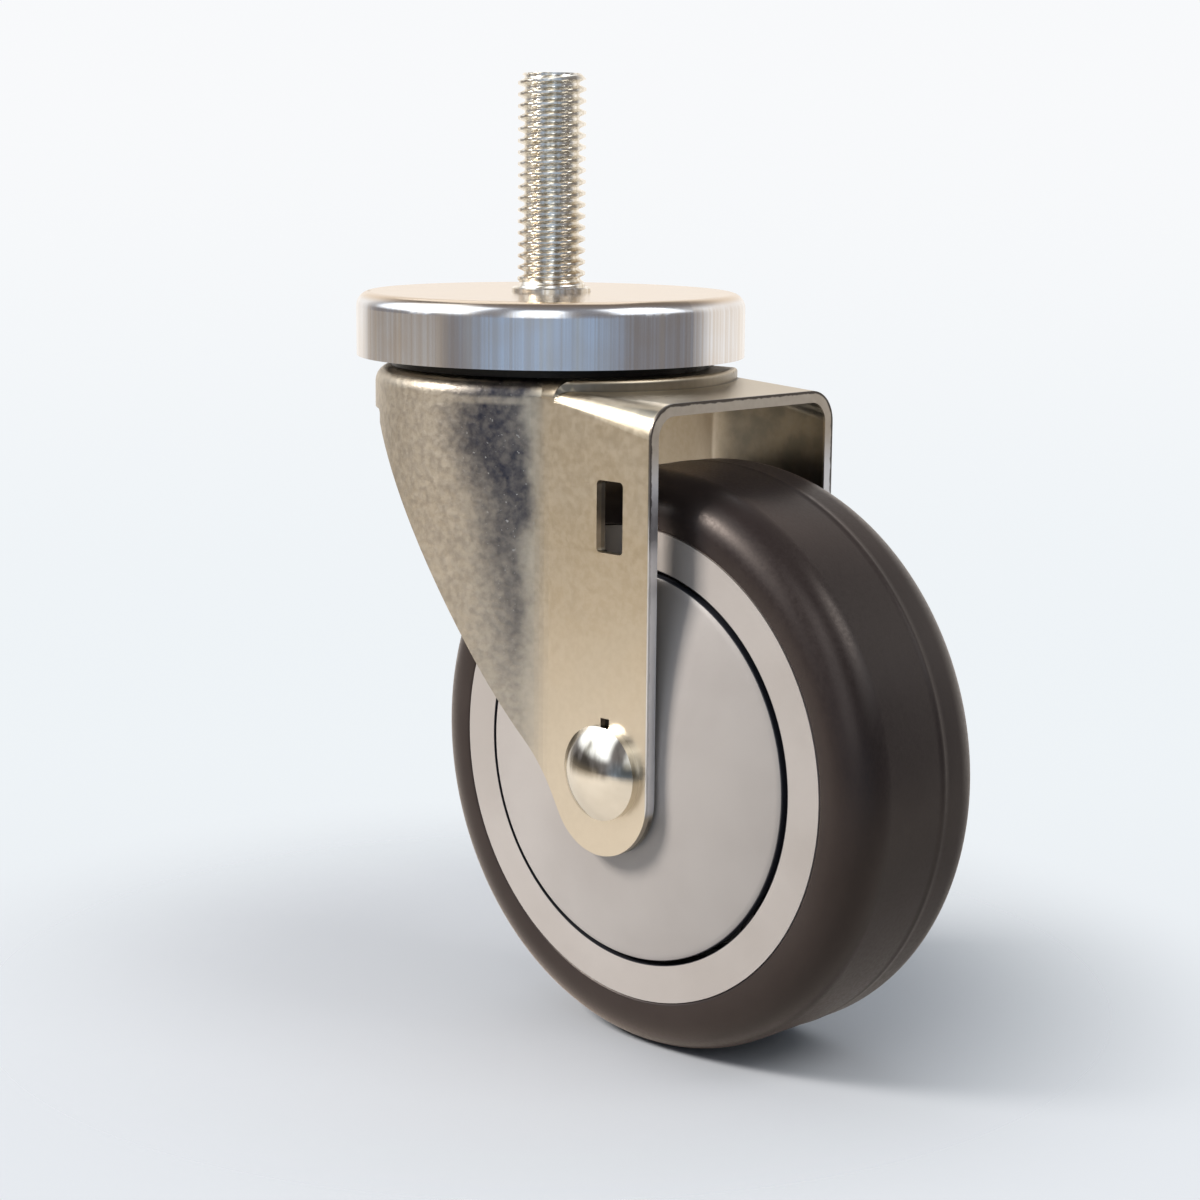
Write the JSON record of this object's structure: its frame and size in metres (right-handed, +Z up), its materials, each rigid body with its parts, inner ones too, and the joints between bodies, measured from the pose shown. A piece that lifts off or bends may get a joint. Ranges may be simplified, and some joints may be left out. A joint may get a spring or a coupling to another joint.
{
  "type": "swivel stem castor",
  "caption": "Swivel castor with a threaded stem, a round ball-race cap, a pressed steel fork and a soft-tyred wheel with cover discs.",
  "frame": {"origin": "on the swivel axis, at the top face of the cap, where the threaded stem starts", "axes": "+Z up along the stem, +X from the swivel axis towards the wheel axle, +Y along the axle"},
  "size_m": [0.1213, 0.069, 0.1654],
  "materials": {
    "stem_zinc": "bright zinc plating",
    "cap_zinc": "brushed zinc plating",
    "race_steel": "dark hardened steel, greased",
    "cup_zinc": "zinc plating",
    "ball_steel": "polished balls",
    "fork_zinc": "warm zinc plating with fine mottling",
    "bolt_chrome": "polished plating",
    "nut_zinc": "zinc plating",
    "insert_nylon": "nylon",
    "sleeve_steel": "plain steel",
    "guard_plastic": "smooth moulded",
    "ring_steel": "ground steel",
    "core_plastic": "smooth moulded",
    "tyre_rubber": "soft satin rubber",
    "cage_brass": "pressed cage",
    "shield_steel": "thin sheet"
  },
  "bodies": {
    "swivel_head": {"stem": "stem_zinc", "cap": "cap_zinc", "cap_race": "race_steel", "lower_cup": "cup_zinc", "lower_balls": "ball_steel"},
    "fork_body": {"fork": "fork_zinc", "crown_race": "race_steel", "upper_balls": "ball_steel", "axle_bolt": "bolt_chrome", "axle_washer": "nut_zinc", "axle_nut": "nut_zinc", "nut_insert": "insert_nylon", "axle_sleeve": "sleeve_steel", "guard_near": "guard_plastic", "guard_far": "guard_plastic", "bearing_spacer": "sleeve_steel", "inner_rings": "ring_steel"},
    "wheel": {"wheel_core": "core_plastic", "tyre": "tyre_rubber", "outer_rings": "ring_steel", "bearing_balls": "ball_steel", "ball_cages": "cage_brass", "bearing_shields": "shield_steel"}
  },
  "joints": [
    {"name": "swivel", "type": "hinge", "parent": "swivel_head", "child": "fork_body", "pos_m": [0, 0, 0], "axis": [0, 0, 1], "continuous": true},
    {"name": "wheel_spin", "type": "hinge", "parent": "fork_body", "child": "wheel", "pos_m": [0.0368, 0, -0.07736], "axis": [0, 1, 0], "continuous": true}
  ]
}
